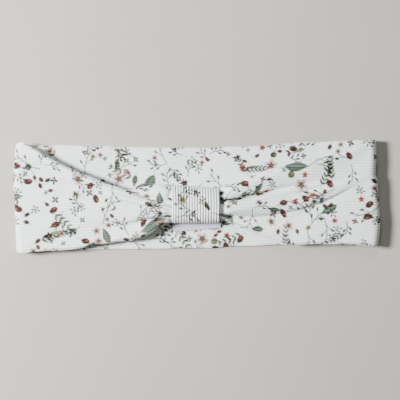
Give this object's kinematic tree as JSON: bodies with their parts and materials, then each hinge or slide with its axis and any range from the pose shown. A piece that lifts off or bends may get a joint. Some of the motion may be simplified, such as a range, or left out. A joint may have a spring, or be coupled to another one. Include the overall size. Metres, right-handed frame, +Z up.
{
  "type": "knotted headband",
  "caption": "Stretch rib-knit headband with a gathered front knot and a woodland floral print, lying flat, with a plain satin label inside.",
  "frame": {"origin": "on the surface that the band lies on, under the middle of its outline", "axes": "+X along the band, +Y across it towards the edge that the knot is set away from, +Z up from the surface"},
  "size_m": [0.24, 0.071, 0.017],
  "materials": {
    "rib_knit": "matte rib-knit jersey, off-white with a printed woodland floral pattern",
    "sewing_thread": "matte polyester sewing thread",
    "satin_label": "soft satin ribbon, plain"
  },
  "bodies": {
    "back_center": {"back_center_panel": "rib_knit", "back_center_seam": "sewing_thread", "label": "satin_label", "label_thread_left": "sewing_thread", "label_thread_right": "sewing_thread"},
    "back_left": {"back_left_panel": "rib_knit", "back_left_seam": "sewing_thread", "left_side_fold": "rib_knit", "left_fold_seam": "sewing_thread"},
    "front_left": {"front_left_wing": "rib_knit", "front_left_seam": "sewing_thread"},
    "knot": {"gathered_end_left": "rib_knit", "gathered_end_right": "rib_knit", "ring_seam_thread": "sewing_thread", "knot_loop": "rib_knit", "knot_loop_seam": "sewing_thread", "loop_closing_thread": "sewing_thread"},
    "front_right_inner": {"front_right_wing_inner": "rib_knit"},
    "back_right": {"back_right_panel": "rib_knit", "back_right_seam": "sewing_thread", "right_side_fold": "rib_knit", "right_fold_seam": "sewing_thread"},
    "front_right_outer": {"front_right_wing_outer": "rib_knit", "front_right_seam": "sewing_thread"}
  },
  "joints": [
    {"name": "band_opening", "type": "hinge", "parent": "back_center", "child": "back_left", "pos_m": [-0.018, 0, 0.0028], "axis": [0, 1, 0], "range_deg": [0, 50]},
    {"name": "left_fold_opening", "type": "hinge", "parent": "back_left", "child": "front_left", "pos_m": [-0.1146, 0, 0.0054], "axis": [0, -1, 0], "range_deg": [0, 100], "deforming": ["left_side_fold", "left_fold_seam"]},
    {"name": "knot_left_hinge", "type": "hinge", "parent": "front_left", "child": "knot", "pos_m": [-0.018, 0, 0.008], "axis": [0, 1, 0], "range_deg": [0, 50]},
    {"name": "knot_right_hinge", "type": "hinge", "parent": "knot", "child": "front_right_inner", "pos_m": [0.018, 0, 0.008], "axis": [0, 1, 0], "range_deg": [0, 50]},
    {"name": "band_opening_right", "type": "hinge", "parent": "back_center", "child": "back_right", "pos_m": [0.018, 0, 0.0028], "axis": [0, -1, 0], "range_deg": [0, 50]},
    {"name": "right_fold_opening", "type": "hinge", "parent": "back_right", "child": "front_right_outer", "pos_m": [0.1146, 0, 0.0054], "axis": [0, 1, 0], "range_deg": [0, 100], "deforming": ["right_side_fold", "right_fold_seam"]}
  ],
  "couplings": [
    {"joint": "left_fold_opening", "follows": "band_opening", "ratio": 2},
    {"joint": "knot_left_hinge", "follows": "band_opening", "ratio": 1},
    {"joint": "knot_right_hinge", "follows": "band_opening", "ratio": 1},
    {"joint": "band_opening_right", "follows": "band_opening", "ratio": 1},
    {"joint": "right_fold_opening", "follows": "band_opening", "ratio": 2}
  ]
}
